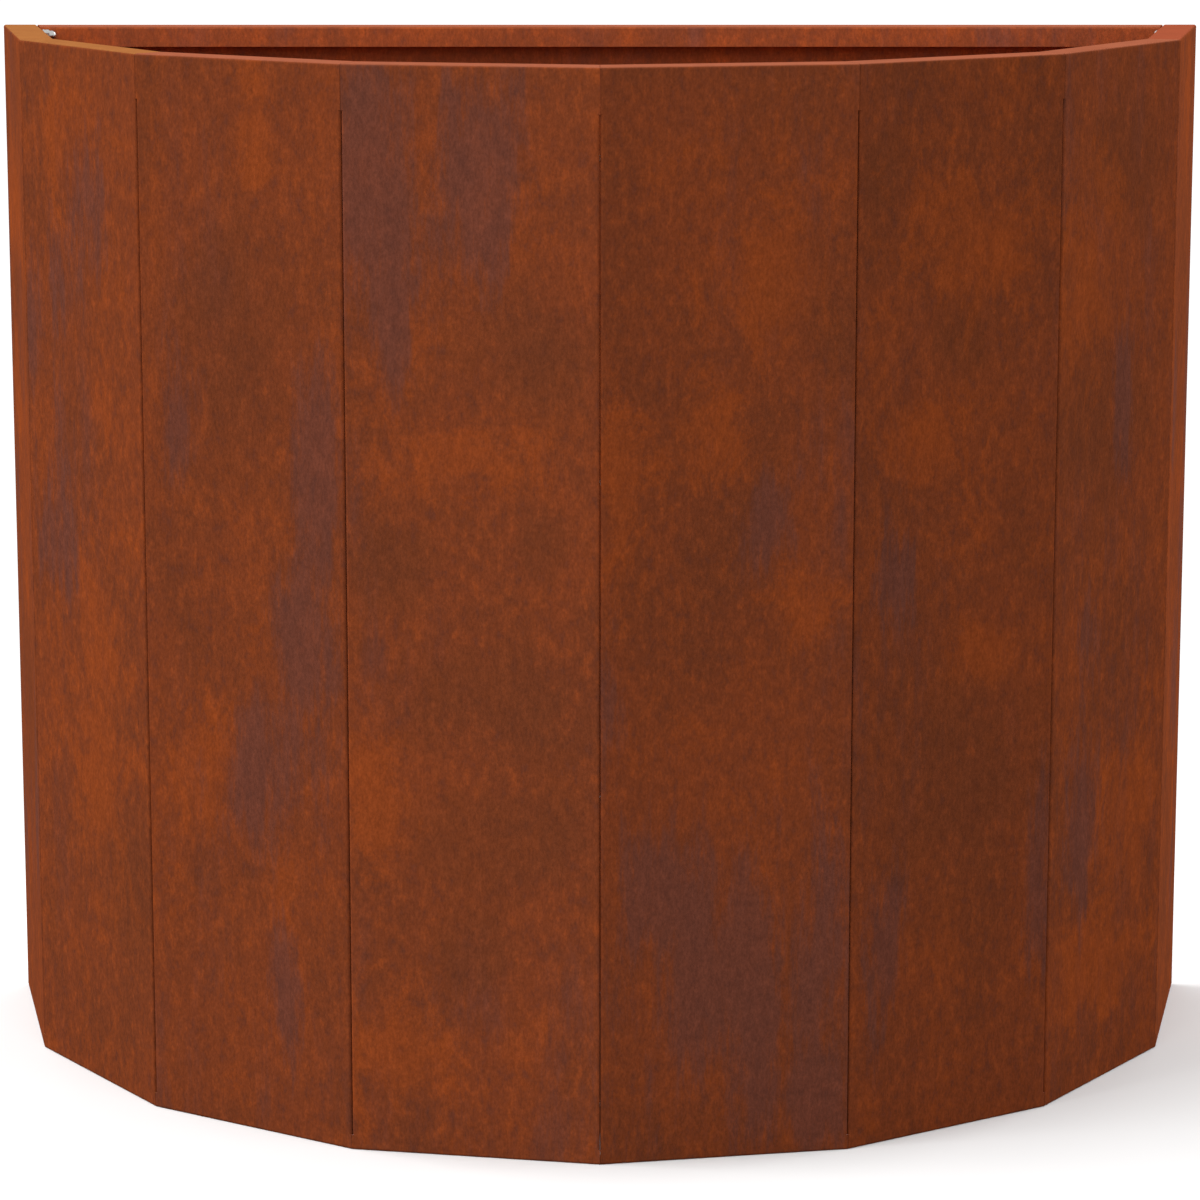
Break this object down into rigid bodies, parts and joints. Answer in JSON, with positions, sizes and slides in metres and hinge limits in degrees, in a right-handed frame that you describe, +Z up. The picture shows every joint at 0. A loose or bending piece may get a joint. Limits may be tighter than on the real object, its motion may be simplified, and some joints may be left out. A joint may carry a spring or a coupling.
{
  "type": "planter",
  "caption": "Tall half-round floor planter with a faceted front, a flat back and a folded rim, made of bolted weathering-steel panels, open at the bottom",
  "frame": {"origin": "middle of the footprint, on the ground", "axes": "+X to the right seen from the front, +Y to the flat back, +Z up"},
  "size_m": [1.1994, 0.6, 1],
  "materials": {
    "left_end_panel": "weathering steel with a dense, matt rust layer, mottled orange, brown and grey",
    "front_panel_1": "weathering steel with a dense, matt rust layer, mottled orange, brown and grey",
    "front_panel_2": "weathering steel with a dense, matt rust layer, mottled orange, brown and grey",
    "front_panel_3": "weathering steel with a dense, matt rust layer, mottled orange, brown and grey",
    "front_panel_4": "weathering steel with a dense, matt rust layer, mottled orange, brown and grey",
    "front_panel_5": "weathering steel with a dense, matt rust layer, mottled orange, brown and grey",
    "front_panel_6": "weathering steel with a dense, matt rust layer, mottled orange, brown and grey",
    "right_end_panel": "weathering steel with a dense, matt rust layer, mottled orange, brown and grey",
    "back_panel": "weathering steel with a dense, matt rust layer, mottled orange, brown and grey",
    "stainless_hardware": "bright stainless steel"
  },
  "bodies": {
    "root": {"left_end_panel": "left_end_panel", "front_panel_1": "front_panel_1", "front_panel_2": "front_panel_2", "front_panel_3": "front_panel_3", "front_panel_4": "front_panel_4", "front_panel_5": "front_panel_5", "front_panel_6": "front_panel_6", "right_end_panel": "right_end_panel", "back_panel": "back_panel", "seam_1_bolts": "stainless_hardware", "seam_1_washers": "stainless_hardware", "seam_1_nuts": "stainless_hardware", "seam_2_bolts": "stainless_hardware", "seam_2_washers": "stainless_hardware", "seam_2_nuts": "stainless_hardware", "seam_3_bolts": "stainless_hardware", "seam_3_washers": "stainless_hardware", "seam_3_nuts": "stainless_hardware", "seam_4_bolts": "stainless_hardware", "seam_4_washers": "stainless_hardware", "seam_4_nuts": "stainless_hardware", "seam_5_bolts": "stainless_hardware", "seam_5_washers": "stainless_hardware", "seam_5_nuts": "stainless_hardware", "seam_6_bolts": "stainless_hardware", "seam_6_washers": "stainless_hardware", "seam_6_nuts": "stainless_hardware", "seam_7_bolts": "stainless_hardware", "seam_7_washers": "stainless_hardware", "seam_7_nuts": "stainless_hardware", "left_corner_bolts": "stainless_hardware", "left_corner_washers": "stainless_hardware", "left_corner_nuts": "stainless_hardware", "right_corner_bolts": "stainless_hardware", "right_corner_washers": "stainless_hardware", "right_corner_nuts": "stainless_hardware"}
  },
  "joints": []
}
